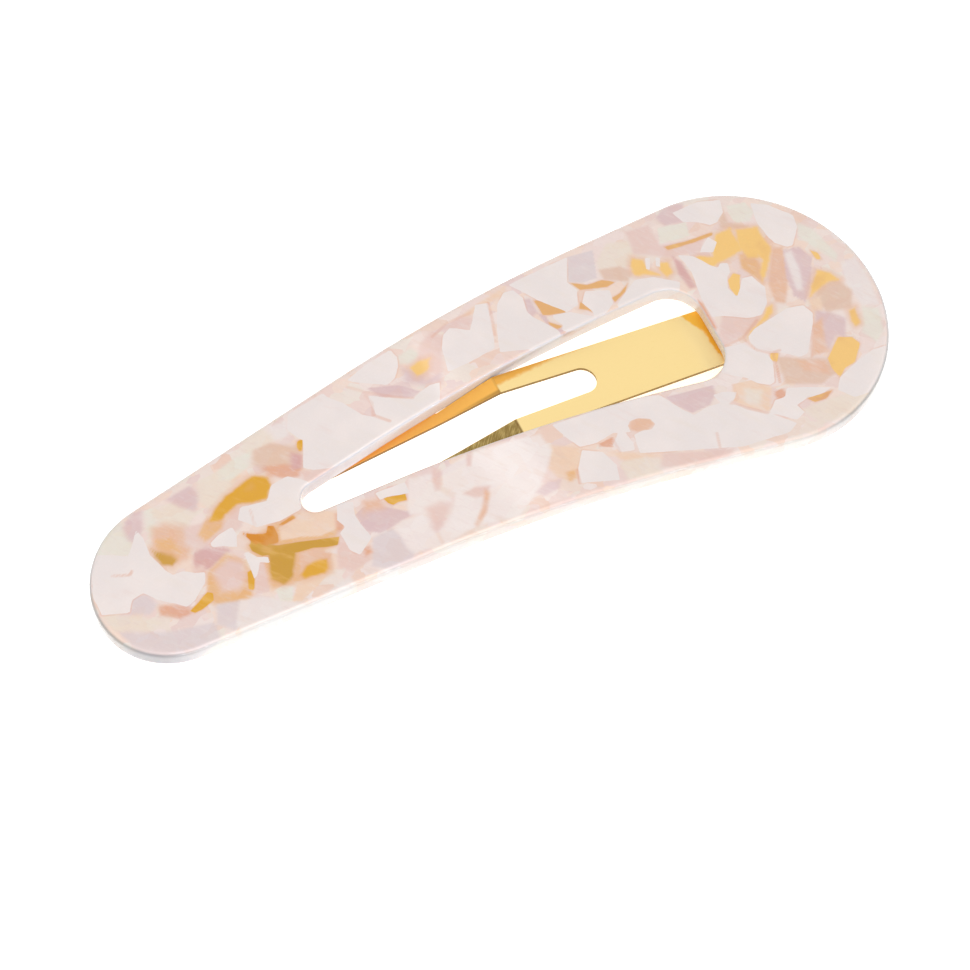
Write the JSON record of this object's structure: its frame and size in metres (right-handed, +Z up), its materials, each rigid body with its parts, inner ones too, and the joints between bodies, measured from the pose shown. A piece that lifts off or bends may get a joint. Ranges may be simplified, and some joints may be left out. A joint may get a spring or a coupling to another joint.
{
  "type": "snap hair clip",
  "caption": "Teardrop snap hair clip: an arched plate with a tapered slot, glued on a riveted spring-steel frame whose inner tongue snaps shut under it.",
  "frame": {"origin": "centre of the footprint, on the surface that the clip lies on", "axes": "+X along the clip towards its wide end, +Y across it, +Z up, out of the cover's face"},
  "size_m": [0.08, 0.0276, 0.0079],
  "materials": {
    "marbled_acetate": "polished, marbled, with clear gaps between milky flakes",
    "gold_plate": "polished gold plate on spring steel"
  },
  "bodies": {
    "tongue": {"tongue": "gold_plate"},
    "clip": {"cover": "marbled_acetate", "frame": "gold_plate", "rivet": "gold_plate"}
  },
  "joints": [
    {"name": "snap", "type": "hinge", "parent": "tongue", "child": "clip", "pos_m": [-0.02614, 0.00035, 0.00215], "axis": [0, -1, 0], "range_deg": [0, 18]}
  ]
}
